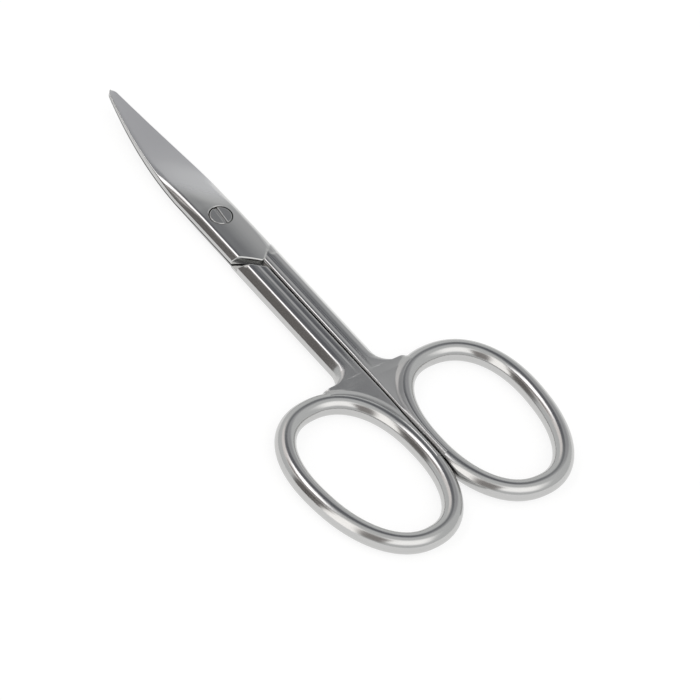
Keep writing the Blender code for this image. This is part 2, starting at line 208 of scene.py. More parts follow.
# Each panel: label, azimuth, elevation and turn of its middle, width and height in degrees,
# soft border as a share, level and tint
STUDIO_PANELS = (
    ("ceiling", 67.0, 57.0, 0.0, 48.0, 28.0, 0.6, 0.17, (0.95, 0.98, 1.07)),
    ("side_window", -106.0, 51.0, -5.0, 70.0, 46.0, 0.5, 1.5, (1.01, 1.0, 0.99)),
    ("corner_window", 174.0, 26.0, -7.0, 36.0, 76.0, 0.25, 1.6, (1.02, 1.0, 0.98)),
    ("left_flag", -158.0, 37.0, 0.0, 26.0, 56.0, 0.4, 0.32, (1.05, 0.99, 0.96)),
    ("warm_window", 110.0, 45.0, 4.0, 60.0, 20.0, 0.33, 1.0, (1.04, 0.99, 0.97)),
    ("strip_light", 109.0, 58.5, 0.0, 26.0, 11.0, 0.4, 2.5, (1.01, 0.99, 1.0)),
    ("rear_flag", 131.0, 48.0, 23.0, 27.0, 11.0, 0.4, 0.3, (1.06, 0.98, 0.96)),
    ("right_flag", 151.0, 21.0, 8.0, 20.0, 46.0, 0.15, 0.17, (1.06, 0.99, 0.95)),
    ("front_shade", 24.0, 35.0, 0.0, 22.0, 28.0, 0.6, 0.46, (0.99, 0.99, 1.02)),
)
SHARP_ANGLE = math.radians(32.0)

# Grid counts
TIP_ROWS = 16
BLADE_ROWS = 180
PLATE_ROWS = 50
V_ROWS = 24
SHOULDER_ROWS = 40
SHANK_ROWS = 60
FILLET_ROWS = 46
SUNK_ROWS = 10
RIDGE_ROWS = 80
EDGE_COLUMNS = 6
ROUND_COLUMNS = 24
FLAT_COLUMNS = 44
MATING_COLUMNS = 24
RING_ROWS = 400
RING_COLUMNS = 72
SCREW_COLUMNS = 96
SCREW_ROWS = 61
SLOT_EDGE_COLUMNS = 15
LINE_STEPS = 40
FILLET_STEPS = 4000
V_STEPS = 400


# Shapes


def smooth_step(value, start, end):
    """Rise from 0 at start to 1 at end with level ends."""
    share = np.clip((value - start) / (end - start), 0.0, 1.0)
    return share * share * (3.0 - 2.0 * share)


def mix(first, second, share):
    """The value a share of the way from the first to the second."""
    return first + (second - first) * share


def blade_rise(x, y):
    """Bowl round the pivot axis: the rise grows with the square of the radius past the bend's start."""
    share = np.clip((np.hypot(x, y) - BEND_START) / (BLADE_LENGTH - BEND_START), 0.0, None)
    return np.where(y > 0.0, BLADE_RISE * share**2, 0.0)


def half_width(y, sizes):
    """Half the width of the plate and blade.

    The plate's width blends into the blade's, which is drawn in by a power of the way to the
    tip and rounded off there by a quarter ellipse.
    """
    share = np.clip((y - BLADE_TAPER_START) / (BLADE_LENGTH - BLADE_TAPER_START), 0.0, 1.0)
    edge = mix(sizes.blade_width / 2, TIP_HALF_WIDTH, share**BLADE_TAPER_POWER)
    width = mix(sizes.joint_width / 2, edge, smooth_step(y, WIDTH_BLEND_START, WIDTH_BLEND_END))
    past = np.clip((y - BLADE_LENGTH + TIP_ROUND_LENGTH) / TIP_ROUND_LENGTH, 0.0, 1.0)
    return width * np.sqrt(1.0 - past**2)


def plate_rear(x, setback, sizes):
    """Y of the plate's rear edge: a V with its point at the seam and soft outer ends."""
    share = np.clip((np.abs(x) - SEAM) / (sizes.joint_width / 2 - SEAM), 0.0, None)
    power = PLATE_CORNER_POWER
    soft_share = share / (0.5 + 0.5 * share**power) ** (1.0 / power)
    return -(PLATE_REACH - (PLATE_REACH - PLATE_SIDE_REACH) * soft_share + setback)


def rear_width(y, setback, sizes):
    """How far from the seam the V-shaped edge stands at y: the inverse of plate_rear."""
    x = np.linspace(SEAM, sizes.joint_width / 2, V_STEPS)
    return np.interp(y, plate_rear(x, setback, sizes), x)


def ring_line(turn):
    """Ring centreline: a superellipse, wider towards the neck, leaning away from the seam."""
    cosine, sine = np.cos(turn), np.sin(turn)
    length = np.sign(sine) * np.abs(sine) ** (2.0 / RING_POWER)
    across = np.sign(cosine) * np.abs(cosine) ** (2.0 / RING_POWER) * (1.0 + RING_EGG_SHARE * length)
    x = RING_HALF_WIDTH * across
    y = RING_HALF_LENGTH * length
    turned_x = x * math.cos(RING_TILT) - y * math.sin(RING_TILT)
    turned_y = x * math.sin(RING_TILT) + y * math.cos(RING_TILT)
    return (
        RING_SEAM_OFFSET + RING_HALF_WIDTH + turned_x,
        turned_y - RING_REACH - RING_HALF_LENGTH,
    )


def even_ring_line(count):
    """Points of the ring centreline at even steps of length, with their outward directions."""
    turn = np.linspace(0.0, 2.0 * math.pi, LINE_STEPS * count + 1)
    x, y = ring_line(turn)
    travel = np.concatenate([[0.0], np.cumsum(np.hypot(np.diff(x), np.diff(y)))])
    even = np.linspace(0.0, travel[-1], count, endpoint=False)
    line = np.stack([np.interp(even, travel, x), np.interp(even, travel, y)], axis=-1)
    along = np.roll(line, -1, axis=0) - np.roll(line, 1, axis=0)
    along /= np.linalg.norm(along, axis=1, keepdims=True)
    return line, np.stack([along[:, 1], -along[:, 0]], axis=-1)


def ring_height(x, y, radius):
    """Height of the ring's round bar over plan points, falling below zero outside it.

    The distance to the centreline is taken square to it at the nearest of its points.
    """
    line, outward = even_ring_line(RING_ROWS)
    nearest = np.hypot(x[..., None] - line[:, 0], y[..., None] - line[:, 1]).argmin(axis=-1)
    offset = np.stack([x, y], axis=-1) - line[nearest]
    distance = np.abs((offset * outward[nearest]).sum(axis=-1))
    inside = np.sqrt(np.clip(radius**2 - distance**2, 0.0, None))
    return np.where(distance < radius, inside, radius - distance)


def soft_max(first, second, reach):
    """The larger of two values, filled out where they lie within reach of each other."""
    near = np.clip(reach - np.abs(first - second), 0.0, None)
    return np.maximum(first, second) + near**2 / (4.0 * reach)


def soft_min(first, second, reach):
    """The smaller of two values, cut back where they lie within reach of each other."""
    return -soft_max(-first, -second, reach)


def ring_surface(sizes):
    """A round bar carried along the ring's centreline and ground flat just short of the seam.

    Round the bar the radius is the bar's own or the distance to the seam plane, whichever is
    smaller, with the corner between them rounded.
    """
    radius = sizes.ring_bar / 2
    line, outward = even_ring_line(RING_ROWS)
    angle = np.linspace(0.0, 2.0 * math.pi, RING_COLUMNS, endpoint=False)
    towards_seam = -np.cos(angle)[None, :] * outward[:, :1]
    room = (line[:, :1] - SEAM - BURIED) / np.clip(towards_seam, LEAST_TOWARDS_SEAM, None)
    room = np.where(towards_seam > 0.0, room, CLEAR_OF_SEAM_SHARE * radius)
    reach = -soft_max(-np.full_like(room, radius), -room, RING_SEAM_ROUND)
    side = reach * np.cos(angle)
    points = np.empty((RING_ROWS, RING_COLUMNS, 3))
    points[..., 0] = line[:, :1] + side * outward[:, :1]
    points[..., 1] = line[:, 1:] + side * outward[:, 1:]
    points[..., 2] = reach * np.sin(angle)
    return points


def neck_fillet(sizes):
    """The round fillet that touches the shank's side and the outside of the ring.

    Gives how far behind the pivot its centre lies, its turn from the shank to the ring, and
    the ring's turn where it ends. The centre stands as near the pivot as any point of the
    ring's centreline can push it.
    """
    turn = np.linspace(math.pi / 2, math.pi, FILLET_STEPS)
    x, y = ring_line(turn)
    reach = sizes.neck_radius + sizes.ring_bar / 2
    across = np.clip((x - sizes.shank_width - sizes.neck_radius) / reach, -1.0, 1.0)
    centre_y = y + reach * np.sqrt(1.0 - across**2)
    touching = int(np.argmax(centre_y))
    return -centre_y[touching], math.acos(-across[touching]), turn[touching]


class ForgingRows:
    """Where each section of the forging ends, as columns of numbers from the tip to the ring.

    Sections run straight across the blade, plate and shank. Behind the neck's start they fan
    out: their outer ends follow the neck's fillet, sink into the ring and go on along its
    centreline, while their seam ends move on by the outer end's fall, or by a small share of
    its travel where it doesn't fall.
    """

    def __init__(self, sizes):
        neck_start, neck_turn, join_turn = neck_fillet(sizes)
        shoulder_start = PLATE_SIDE_REACH + SHOULDER_CLEARANCE
        shoulder_end = PLATE_REACH + SHOULDER_CLEARANCE
        step = SEAM / 10
        tip_turn = np.linspace(TIP_TURN_START, 0.0, TIP_ROWS)
        straight_y = np.concatenate([
            BLADE_LENGTH - TIP_ROUND_LENGTH * (1.0 - np.sin(tip_turn)),
            np.linspace(BLADE_LENGTH - TIP_ROUND_LENGTH, 0.0, BLADE_ROWS)[1:],
            np.linspace(0.0, -PLATE_SIDE_REACH, PLATE_ROWS)[1:],
            np.linspace(-PLATE_SIDE_REACH, -shoulder_start, PLATE_ROWS)[1:],
            np.linspace(-shoulder_start - step, -PLATE_REACH, V_ROWS),
            np.linspace(-PLATE_REACH - step, -shoulder_end, SHOULDER_ROWS),
            np.linspace(-shoulder_end, -neck_start, SHANK_ROWS)[1:],
        ])
        half = half_width(straight_y, sizes)
        behind = smooth_step(-straight_y, SHANK_BLEND_START, SHANK_BLEND_END)
        bend = np.linspace(0.0, neck_turn, FILLET_ROWS)[1:]
        neck_x = sizes.shank_width + sizes.neck_radius * (1.0 - np.cos(bend))
        neck_y = -neck_start - sizes.neck_radius * np.sin(bend)
        line_x, line_y = ring_line(np.linspace(join_turn, RIDGE_FADE_TURN, RIDGE_ROWS))
        sunk = np.linspace(0.0, 1.0, SUNK_ROWS)[1:-1]
        sink_x = mix(neck_x[-1], line_x[0], sunk)
        sink_y = mix(neck_y[-1], line_y[0], sunk)
        outer_x = np.concatenate([mix(half, sizes.shank_width, behind), neck_x, sink_x, line_x])
        outer_y = np.concatenate([straight_y, neck_y, sink_y, line_y])
        first = len(straight_y)
        moves = np.stack([np.diff(outer_x), np.diff(outer_y)])[:, first - 1:]
        travel = np.cumsum(np.maximum(-moves[1], FAN_SHARE * np.hypot(*moves)))
        left_x = np.where(
            straight_y > -PLATE_SIDE_REACH,
            -half,
            np.where(straight_y < -PLATE_REACH, SEAM, -rear_width(straight_y, 0.0, sizes)),
        )
        self.outer_x = outer_x[:, None]
        self.outer_y = outer_y[:, None]
        self.seam_x = np.concatenate([left_x, np.full(len(travel), SEAM)])[:, None]
        self.seam_y = np.concatenate([straight_y, straight_y[-1] - travel])[:, None]
        self.travel = np.concatenate([np.zeros(first), travel])[:, None]
        self.neck_end_x = neck_x[-1]
        self.behind = smooth_step(-self.outer_y, SHANK_BLEND_START, SHANK_BLEND_END)
        self.webbed = smooth_step(self.travel, 0.0, RING_REACH - neck_start)
        faded = smooth_step(-self.seam_y, RING_REACH, RING_REACH + RING_HALF_LENGTH)
        self.faded = faded**RIDGE_FADE_POWER

    def share(self, x):
        """How far x lies from the seam to the outer end."""
        return np.clip((x - SEAM) / (self.outer_x - SEAM), 0.0, 1.0)

    def y(self, x):
        """Y of the section over x."""
        fanned = mix(self.seam_y, self.outer_y, self.share(x))
        return np.where(self.travel > 0.0, fanned, self.outer_y)


def blank_height(y, sizes):
    """Height of the blade's ridge: the plate's flat, then thinning evenly to the tip."""
    blank = mix(BLANK_HEIGHT, TIP_THICKNESS, np.clip(y / BLADE_LENGTH, 0.0, 1.0))
    return soft_min(sizes.plate_thickness, blank, BLANK_HEIGHT - sizes.plate_thickness)


def shank_level(x, rows, sizes):
    """Height of the shank and web over x before the side is rounded.

    The shank is level, with a groove that sets off a bead beside the seam: it drops by smooth
    steps. The web falls from the ridge at the seam by the square of the way to its outer end.
    """
    drop = mix(BEAD_DROP, GROOVE_DEPTH, smooth_step(x, BEAD_MIDDLE, GROOVE_MIDDLE))
    drop = drop * (1.0 - smooth_step(x, GROOVE_MIDDLE, GROOVE_END)) * (1.0 - rows.webbed)
    ridge = mix(sizes.shank_thickness / 2 - drop, RIDGE_END_HEIGHT, rows.faded)
    share = rows.share(x)
    thinned = smooth_step(rows.outer_x, sizes.shank_width, rows.neck_end_x) * share**2
    end = mix(WEB_HALF_THICKNESS, WEB_END_HALF_THICKNESS, thinned)
    return mix(ridge, mix(end, ridge, (1.0 - share) ** 2), rows.webbed)


def facet(inside):
    """Height of the slightly arched facet, above its foot, at a distance inside its side."""
    return FACET_SLOPE * inside - inside**2 / (2.0 * FACET_RADIUS)


def corner_drop(inside, radius):
    """How far a quarter-circle corner falls below its face at a distance inside the side."""
    share = np.clip(1.0 - inside / radius, 0.0, 1.0)
    return radius * (1.0 - np.sqrt(1.0 - share**2))


def rounding(rows):
    """Width of the outer side's fall: the plate's, the shank's or the web's."""
    width = mix(mix(PLATE_ROUND, SHANK_ROUND, rows.behind), WEB_ROUND, rows.webbed)
    return np.minimum(width, (rows.outer_x - rows.seam_x) * ROUND_LIMIT_SHARE)


def rounded(x, level, rows, sizes):
    """Height over x with the outer side's fall and the crease at the ring.

    The shank and plate fall in a shallow arc, then by a facet, to a small corner above an
    upright side. The web falls by a quarter ellipse. The crease is a fillet between the web and
    the ring's bar, just under whose surface the web goes on.
    """
    width = rounding(rows)
    inside = rows.outer_x - x
    past = np.clip(width - inside, 0.0, None)
    arc = level - past**2 / (2.0 * mix(PLATE_TOP_RADIUS, SHANK_TOP_RADIUS, rows.behind))
    foot = mix(PLATE_FACET_FOOT, SHANK_FACET_FOOT, rows.behind)
    bar_side = soft_min(arc, foot + facet(inside), FACET_SOFT) - corner_drop(inside, SIDE_CORNER)
    web_side = level * np.sqrt(1.0 - np.minimum(past / width, 1.0) ** 2)
    height = mix(bar_side, web_side, rows.webbed)
    near = np.flatnonzero(rows.webbed[:, 0] > 0.0)
    web = height[near]
    bar = ring_height(x[near], rows.y(x)[near], sizes.ring_bar / 2) - BURIED
    height[near] = soft_max(web, bar, np.clip(web, LEAST_CREASE, WEB_CREASE))
    return height


def outer_face(x, rows, sizes):
    """Height of the outer face over x: shank, plate and blade.

    The plate steps up to the shank behind its V-shaped edge. It falls in an arc at the spine
    side and by a slight crown on the other. The blade is ground to a slope from a ridge near
    the spine to the cutting edge, which the plate turns into over a stretch that leans across
    it. A facet runs along the spine side and cuts off the rest.
    """
    y = rows.y(x)
    half = sizes.joint_width / 2
    peak = blank_height(y, sizes)
    arc = np.clip(PLATE_ROUND - half - x, 0.0, None) ** 2 / (2.0 * PLATE_TOP_RADIUS)
    step = smooth_step(plate_rear(x, 0.0, sizes) - y, 0.0, STEP_RUN)
    crown = np.clip(x - PLATE_CROWN_X, 0.0, None) ** 2 / (2.0 * PLATE_CROWN_RADIUS)
    level = rounded(x, mix(peak - arc - crown, shank_level(x, rows, sizes), step), rows, sizes)
    ridge_x = -np.minimum(RIDGE_X, RIDGE_SHARE * rows.outer_x)
    across = (rows.outer_x - x) / (rows.outer_x - ridge_x)
    slope = soft_min(peak, mix(MATE + EDGE_LAND, peak + GRIND_CROWN, across), GRIND_CROWN)
    level = mix(level, slope, smooth_step(y + GRIND_LEAN_SHARE * x, GRIND_START, GRIND_FULL))
    return soft_min(level, PLATE_FACET_FOOT + facet(x + half), FACET_SOFT)


def forging_surface(sizes):
    """Closed sections of the blade, plate, shank and neck, one row of points for each section.

    Each section runs up the wall on the seam side or the spine and over its rounded edge,
    across the outer face and down the outer side, back along the other side of the shank to
    the shoulder's wall, and along the mating face.
    """
    rows = ForgingRows(sizes)
    seam_x, outer_x, outer_y = rows.seam_x, rows.outer_x, rows.outer_y
    width = rounding(rows)
    in_front = outer_y > -PLATE_SIDE_REACH - SHOULDER_CLEARANCE
    turn = np.linspace(0.0, 1.0, ROUND_COLUMNS)[None, :]
    along = np.linspace(0.0, 1.0, FLAT_COLUMNS + 1)[None, 1:]
    lift = np.linspace(0.0, math.pi / 2, EDGE_COLUMNS)[None, :]

    # Outer face, from the rounded edge on the seam side or spine to the outer side
    rear_edge = smooth_step(-outer_y, PLATE_SIDE_REACH, PLATE_SIDE_REACH + PLATE_EDGE_ROUND)
    edge = np.maximum(PLATE_EDGE_ROUND * rear_edge, np.minimum(SIDE_CORNER, outer_x / 4))
    edge = np.where(seam_x >= SEAM, sizes.seam_edge, edge)
    near_x = mix(seam_x + edge, outer_x - width, NEAR_SHARE)
    edge_x = seam_x + edge * (1.0 - np.cos(lift))
    near_x = mix(seam_x + edge, near_x, turn[:, 1:])
    flat_x = mix(near_x[:, -1:], outer_x - width, along)
    side_x = outer_x - width * (1.0 - np.cos(mix(math.pi / 2, 0.0, turn[:, 1:])))
    face_x = np.concatenate([edge_x, near_x, flat_x, side_x], axis=1)
    low = np.where(in_front, MATE, 0.0)
    face_z = outer_face(face_x, rows, sizes) - corner_drop(face_x - seam_x, edge)
    face_z = np.maximum(face_z, low)

    # The shank's other side, from its outer side to the rounded edge of the shoulder's wall
    shoulder_x = np.where(
        outer_y < -PLATE_REACH - SHOULDER_CLEARANCE,
        seam_x,
        np.minimum(rear_width(outer_y, SHOULDER_CLEARANCE, sizes), outer_x),
    )
    heel = np.clip((outer_x - shoulder_x) / 2, LEAST_ROUND, sizes.seam_edge)
    heel_turn = np.arccos(np.clip(1.0 - (outer_x - shoulder_x - heel) / width, 0.0, 1.0))
    under_x = outer_x - width * (1.0 - np.cos(mix(0.0, heel_turn, turn)))
    low_x = mix(under_x[:, -1:], shoulder_x + heel, along)
    heel_x = shoulder_x + heel * (1.0 - np.cos(lift[:, ::-1]))
    under_x = np.concatenate([under_x, low_x, heel_x[:, 1:]], axis=1)
    under_z = rounded(under_x, shank_level(under_x, rows, sizes), rows, sizes)
    under_z = -np.maximum(under_z - corner_drop(under_x - shoulder_x, heel), 0.0)
    shoulder_x = np.where(in_front, outer_x, shoulder_x)
    under_x = np.where(in_front, outer_x, under_x)
    under_z = np.where(in_front, MATE, under_z)

    # Mating face, hollow between the edge and the spine of the blade
    mating_x = mix(shoulder_x, seam_x, np.linspace(0.0, 1.0, MATING_COLUMNS)[None, :-1])
    depth = HOLLOW_DEPTH * smooth_step(outer_y, HOLLOW_START, 2 * HOLLOW_START)
    depth = depth * np.clip(outer_x / TIP_HALF_WIDTH, 0.0, 1.0)
    hollow = depth * np.clip(1.0 - (mating_x / outer_x) ** 2, 0.0, None)

    x = np.concatenate([seam_x, face_x, under_x, mating_x], axis=1)
    z = np.concatenate([np.full_like(seam_x, MATE), face_z, under_z, MATE + hollow], axis=1)
    return np.stack([x, rows.y(x), z], axis=-1)


def head_top(x, y, sizes):
    """Height of the screw head below its rim: a level disc with a rounded edge and a slot.

    The rim is a quarter circle. The slot is a smooth step of the distance from its middle line,
    which rounds its floor and eases its edges.
    """
    edge = np.clip((np.hypot(x, y) - HEAD_RADIUS + HEAD_EDGE) / HEAD_EDGE, 0.0, 1.0)
    rim = HEAD_EDGE * (1.0 - np.sqrt(1.0 - edge**2))
    slot = sizes.slot_width / 2
    floor = smooth_step(slot + SLOT_EDGE - np.abs(x), 0.0, slot)
    return -np.maximum(rim, SLOT_DEPTH * floor)


def screw_surfaces(sizes):
    """The screw as two grids: its head's top, in rows across the slot, and its turned side.

    The side runs down from the head's rim through a cone to the shank and to a chamfered end.
    Both grids share the rim's points.
    """
    spread = np.linspace(-1.0, 1.0, SCREW_COLUMNS + 1)
    slot = sizes.slot_width / 2
    near = np.linspace(-1.0, 1.0, SLOT_EDGE_COLUMNS) * SLOT_EDGE
    across = np.concatenate([HEAD_RADIUS * np.sin(spread * math.pi / 2), slot + near, -slot - near])
    across = np.unique(across)
    rim_y = np.sqrt(np.clip(HEAD_RADIUS**2 - across**2, 0.0, None))
    share = np.sin(np.linspace(-1.0, 1.0, SCREW_ROWS) * math.pi / 2)[None, :]
    x = np.broadcast_to(across[:, None], (len(across), share.shape[1]))
    y = rim_y[:, None] * share
    top = np.stack([x, y, head_top(x, y, sizes)], axis=-1)
    rim = np.concatenate([top[:, -1], top[-2:0:-1, 0]])
    head_bottom = HEAD_LAND + HEAD_RADIUS - SCREW_SHANK_RADIUS
    length = 2 * sizes.plate_thickness - HEAD_RECESS - SCREW_END_RECESS
    profile = (
        (HEAD_RADIUS, SLOT_DEPTH + HEAD_EDGE),
        (SCREW_SHANK_RADIUS, max(head_bottom, SLOT_DEPTH + 2 * HEAD_EDGE)),
        (SCREW_SHANK_RADIUS, length - SCREW_END_CHAMFER),
        (SCREW_SHANK_RADIUS - SCREW_END_CHAMFER, length),
        (0.0, length),
    )
    rings = [rim]
    for radius, depth in profile:
        ring = rim * (radius / HEAD_RADIUS)
        ring[:, 2] = -depth
        rings.append(ring)
    side = np.stack(rings)
    cosine, sine = math.cos(SLOT_TURN), math.sin(SLOT_TURN)
    turn = np.array([[cosine, -sine], [sine, cosine]])
    for grid in (top, side):
        grid[..., :2] = grid[..., :2] @ turn.T
        grid[..., 2] += sizes.plate_thickness - HEAD_RECESS
    return top, side


def sink_profile(sizes):
    """Radius and height of the countersunk hole in the upper half, with its eased mouth."""
    top = sizes.plate_thickness
    head = HEAD_RADIUS + CLEARANCE
    bore = SCREW_SHANK_RADIUS + CLEARANCE
    level = top - HEAD_RECESS - SLOT_DEPTH - HEAD_EDGE
    return (
        (0.0, top + head),
        (head + SINK_EDGE + head, top + head),
        (head + SINK_EDGE, top),
        (head, top - SINK_EDGE),
        (head, level),
        (bore, level - (head - bore)),
        (bore, -top),
        (0.0, -top),
    )


# Meshes


def grid_faces(rows, columns, wrap_rows, wrap_columns):
    """Quads of a grid, closed along its rows or across its columns where told."""
    row = np.arange(rows if wrap_rows else rows - 1)[:, None]
    column = np.arange(columns if wrap_columns else columns - 1)[None, :]
    after_row = (row + 1) % rows
    after = (column + 1) % columns
    corners = (
        row * columns + column,
        row * columns + after,
        after_row * columns + after,
        after_row * columns + column,
    )
    return np.stack(np.broadcast_arrays(*corners), axis=-1).reshape(-1, 4)


def closed_mesh(name, grids):
    """One closed mesh of a few grids: merge doubles, close the ends, turn the faces outwards.

    Each grid comes with whether it closes across its columns and along its rows.
    """
    points, faces, first = [], [], 0
    for grid, wrap_columns, wrap_rows in grids:
        rows, columns, _ = grid.shape
        points.append(grid.reshape(-1, 3) + PIVOT)
        faces.append(grid_faces(rows, columns, wrap_rows, wrap_columns) + first)
        first += rows * columns
    mesh = bpy.data.meshes.new(name)
    mesh.from_pydata(np.concatenate(points).tolist(), [], np.concatenate(faces).tolist())
    work = bmesh.new()
    work.from_mesh(mesh)
    bmesh.ops.remove_doubles(work, verts=work.verts, dist=MERGE)
    bmesh.ops.dissolve_degenerate(work, edges=work.edges, dist=MERGE)
    open_edges = [edge for edge in work.edges if edge.is_boundary]
    bmesh.ops.holes_fill(work, edges=open_edges, sides=0)
    bmesh.ops.recalc_face_normals(work, faces=work.faces)
    work.to_mesh(mesh)
    work.free()
    return mesh


def cut(mesh, cutter):
    """The mesh with the cutter's shape taken out of it."""
    piece = bpy.data.objects.new(mesh.name, mesh)
    tool = bpy.data.objects.new(cutter.name, cutter)
    for item in (piece, tool):
        bpy.context.scene.collection.objects.link(item)
    boolean = piece.modifiers.new("cut", "BOOLEAN")
    boolean.operation = "DIFFERENCE"
    boolean.solver = "EXACT"
    boolean.object = tool
    bpy.context.view_layer.update()
    graph = bpy.context.evaluated_depsgraph_get()
    finished = bpy.data.meshes.new_from_object(piece.evaluated_get(graph))
    for item in (piece, tool):
        bpy.data.objects.remove(item)
    return finished


def turned(name, profile, columns):
    """A body turned about the pivot axis from radii and heights that start and end on it."""
    turn = np.linspace(0.0, 2.0 * math.pi, columns, endpoint=False)
    radius, height = np.array(profile).T
    grid = np.stack([
        radius[:, None] * np.cos(turn),
        radius[:, None] * np.sin(turn),
        np.broadcast_to(height[:, None], (len(height), columns)),
    ], axis=-1)
    return closed_mesh(name, [(grid, True, False)])


def add_piece(name, mesh, material, body, node):
    """Put a finished mesh into the scene as a piece that rides a body in place of a CAD node."""
    mesh.name = name
    mesh.shade_smooth()
    mesh.set_sharp_from_angle(angle=SHARP_ANGLE)
    piece = bpy.data.objects.new(name, mesh)
    bpy.context.scene.collection.objects.link(piece)
    mesh.materials.clear()
    mesh.materials.append(material)
    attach(piece, body)
    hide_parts(node)


def placed(points, side):
    """The upper half's points (side 1), or the same turned over about Y (side -1), with the bend."""
    x, y, z = np.moveaxis(points, -1, 0)
    return np.stack([side * x, y, side * z + blade_rise(x, y)], axis=-1)


# Shader maths


class Value:
    """A number that varies over a surface: the operators on it add Math nodes."""

    def __init__(self, tree, socket):
        self.tree = tree
        self.socket = socket

    def math(self, operation, *others):
        return add_node(self.tree, "ShaderNodeMath", {"operation": operation}, [self.socket, *others])

    def __add__(self, other):
        return self.math("ADD", other)

    def __sub__(self, other):
        return self.math("SUBTRACT", other)

    def __mul__(self, other):
        return self.math("MULTIPLY", other)

    def __truediv__(self, other):
        return self.math("DIVIDE", other)

    def __rsub__(self, other):
        return add_node(self.tree, "ShaderNodeMath", {"operation": "SUBTRACT"}, [other, self.socket])

    __radd__ = __add__
    __rmul__ = __mul__

    def step(self, start, end):
        """Rise from 0 at start to 1 at end with level ends."""
        settings = {"interpolation_type": "SMOOTHSTEP"}
        return add_node(self.tree, "ShaderNodeMapRange", settings, [self.socket, start, end, 0.0, 1.0])


def add_node(tree, kind, settings=(), sources=(), output=0):
    """Add a node with its settings, then fill its sockets in order or by name; give back one output."""
    node = tree.nodes.new(kind)
    for key, value in dict(settings).items():
        setattr(node, key, value)
    named = sources.items() if isinstance(sources, dict) else enumerate(sources)
    for key, source in named:
        socket = source.socket if isinstance(source, Value) else source
        if isinstance(socket, bpy.types.NodeSocket):
            tree.links.new(socket, node.inputs[key])
        elif socket is not None:
            node.inputs[key].default_value = socket
    return Value(tree, node.outputs[output])


def mix_colours(tree, factor, first, second, label=""):
    """Mix two colours by a factor."""
    settings = {"data_type": "RGBA", "label": label}
    return add_node(tree, "ShaderNodeMix", settings, {"Factor": factor, 6: first, 7: second}, 2)


def axis_value(tree, vector, axis):
    """How far a vector reaches along an axis."""
    settings = {"operation": "DOT_PRODUCT"}
    return add_node(tree, "ShaderNodeVectorMath", settings, [vector, tuple(axis)], 1)


# Materials


def steel(name, settings, web_satin=0.0):
    """Polished steel with fine lines along its length, faint smears and a satin ground blade.

    The lines are noise drawn out along Y, used for the roughness and a small bump. The blade is
    satin where it faces up past the joint, which leaves its spine and rim polished. There its colour
    is also lightened, which is painted light that brightens the ground face. The neck gains the
    given roughness.
    """
    material = bpy.data.materials.new(name)
    material.use_nodes = True
    tree = material.node_tree
    shader = tree.nodes["Principled BSDF"]
    place = add_node(tree, "ShaderNodeTexCoord", output=3)
    facing = add_node(tree, "ShaderNodeTexCoord", output=1)
    drawn = add_node(tree, "ShaderNodeMapping", {}, {"Vector": place, "Scale": (1.0, LINE_STRETCH, 1.0)})
    marks = {"Vector": drawn, "Scale": LINE_SCALE, "Detail": LINE_DETAIL}
    lines = add_node(tree, "ShaderNodeTexNoise", {}, marks)
    marks = {"Vector": place, "Scale": SMEAR_SCALE, "Detail": SMEAR_DETAIL}
    smears = add_node(tree, "ShaderNodeTexNoise", {}, marks)
    ahead = axis_value(tree, place, (1.0, 1.0, 0.0))
    ahead = ahead.step(PIVOT[1] + SATIN_START, PIVOT[1] + SATIN_FULL)
    behind = axis_value(tree, place, (0.0, -1.0, 0.0))
    neck = behind.step(WEB_SATIN_START - PIVOT[1], WEB_SATIN_FULL - PIVOT[1])
    ground = ahead * axis_value(tree, facing, GROUND_FACING).step(GROUND_FACING_START, GROUND_FACING_FULL)
    roughness = settings.polish + (settings.grind - settings.polish) * ground + web_satin * neck
    roughness = roughness + (lines - 0.5) * LINE_ROUGHNESS + (smears - 0.5) * SMEAR_ROUGHNESS
    tree.links.new(roughness.socket, shader.inputs["Roughness"])
    dull = [SMEAR_COLOUR_SHARE * part for part in settings.colour]
    colour = mix_colours(tree, smears, (*dull, 1.0), (*settings.colour, 1.0))
    # The ground face's lighter colour is painted light that brightens the blade's face; its satin roughness
    # is the real grind
    colour = mix_colours(tree, ground, colour, (*settings.ground_painted_light_colour, 1.0))
    tree.links.new(colour.socket, shader.inputs["Base Color"])
    relief = {"Strength": LINE_BUMP, "Distance": LINE_DEPTH, "Height": lines}
    bump = add_node(tree, "ShaderNodeBump", {}, relief)
    tree.links.new(bump.socket, shader.inputs["Normal"])
    shader.inputs["Metallic"].default_value = 1.0
    return material


def floor_paint():
    """White floor: it takes the shadow as a matt paint and shows white to the camera and in the steel."""
    material = bpy.data.materials.new("floor")
    material.use_nodes = True
    tree = material.node_tree
    shader = tree.nodes["Principled BSDF"]
    shader.inputs["Base Color"].default_value = FLOOR_COLOUR
    shader.inputs["Roughness"].default_value = 1.0
    shader.inputs["Specular IOR Level"].default_value = 0.0
    path = tree.nodes.new("ShaderNodeLightPath")
    seen = Value(tree, path.outputs["Is Camera Ray"])
    for output in ("Is Glossy Ray", "Is Transmission Ray"):
        seen = seen.math("MAXIMUM", path.outputs[output])
    glow = add_node(tree, "ShaderNodeEmission", {}, {"Color": WHITE, "Strength": seen * FLOOR_GLOW})
    both = add_node(tree, "ShaderNodeAddShader", {}, [shader.outputs[0], glow])
    tree.links.new(both.socket, tree.nodes["Material Output"].inputs["Surface"])
    return material


